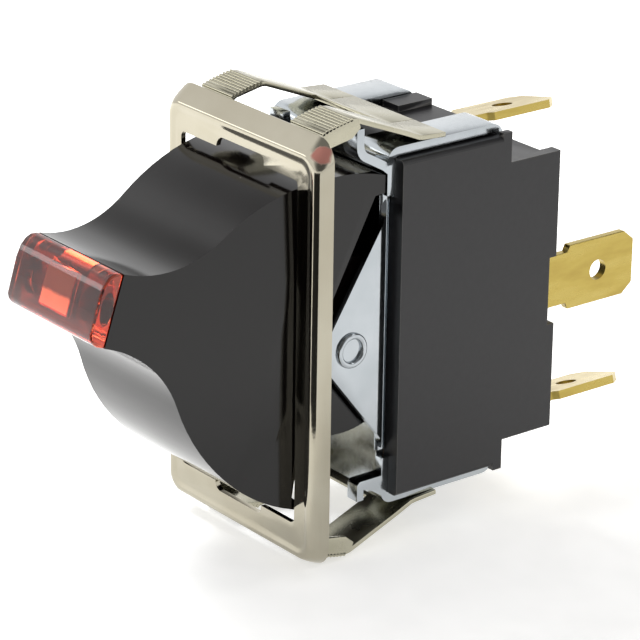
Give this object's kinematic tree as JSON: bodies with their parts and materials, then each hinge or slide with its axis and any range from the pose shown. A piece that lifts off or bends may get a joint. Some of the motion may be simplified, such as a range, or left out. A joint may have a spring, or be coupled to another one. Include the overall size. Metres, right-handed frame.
{
  "type": "panel rocker switch",
  "caption": "Lighted panel rocker switch with a long lever-style rocker, red lens tip, metal bezel, two sprung side clips and rear blade terminals.",
  "frame": {"origin": "centre of the bezel rim plane that rests on the panel, in the middle of the rocker opening", "axes": "+X across the short side of the bezel, +Y from the panel face back through the body towards the terminals, +Z along the long side of the bezel towards the end where the lit tip points in the on position"},
  "size_m": [0.0228, 0.0609, 0.0418],
  "materials": {
    "nickel": "nickel plated steel, bright",
    "clip_nickel": "nickel plated spring steel",
    "zinc": "bright zinc plated steel",
    "rocker_black": "gloss black moulding",
    "lens_red": "translucent red polycarbonate",
    "lamp_glass": "clear glass",
    "tinned_wire": "tinned wire",
    "nylon": "natural nylon",
    "spring_steel": "drawn spring steel",
    "copper_strip": "bare copper alloy strip",
    "silver": "fine silver",
    "fibre": "pressed fibre sheet",
    "body_black": "satin black phenolic moulding",
    "brass": "bare brass"
  },
  "bodies": {
    "housing": {"body": "body_black", "bezel": "nickel", "upper_clip": "clip_nickel", "lower_clip": "clip_nickel", "bracket": "zinc", "pivot_rivets": "zinc", "insulator": "fibre", "lamp_tails": "tinned_wire", "fixed_contact": "silver", "upper_terminal": "brass", "middle_terminal": "brass", "lower_terminal": "brass"},
    "rocker_body": {"rocker": "rocker_black", "lens": "lens_red", "lamp_bulb": "lamp_glass", "lamp_leads": "tinned_wire"},
    "plunger_body": {"plunger": "nylon", "plunger_spring": "spring_steel"},
    "contact_body": {"contact_arm": "copper_strip", "moving_contact": "silver"}
  },
  "joints": [
    {"name": "rocker_hinge", "type": "hinge", "parent": "housing", "child": "rocker_body", "pos_m": [0, 0.0044, -0.001], "axis": [1, 0, 0], "range_deg": [0, 25]},
    {"name": "plunger_slide", "type": "slide", "parent": "rocker_body", "child": "plunger_body", "axis": [0, -0.9763, 0.2164], "range_m": [0, 0.0008], "stiffness_N_per_m": 800},
    {"name": "contact_rock", "type": "hinge", "parent": "housing", "child": "contact_body", "pos_m": [0.0042, 0.01725, -0.001], "axis": [1, 0, 0], "range_deg": [-12, 0]}
  ],
  "couplings": [
    {"joint": "contact_rock", "follows": "rocker_hinge", "ratio": -0.48}
  ]
}
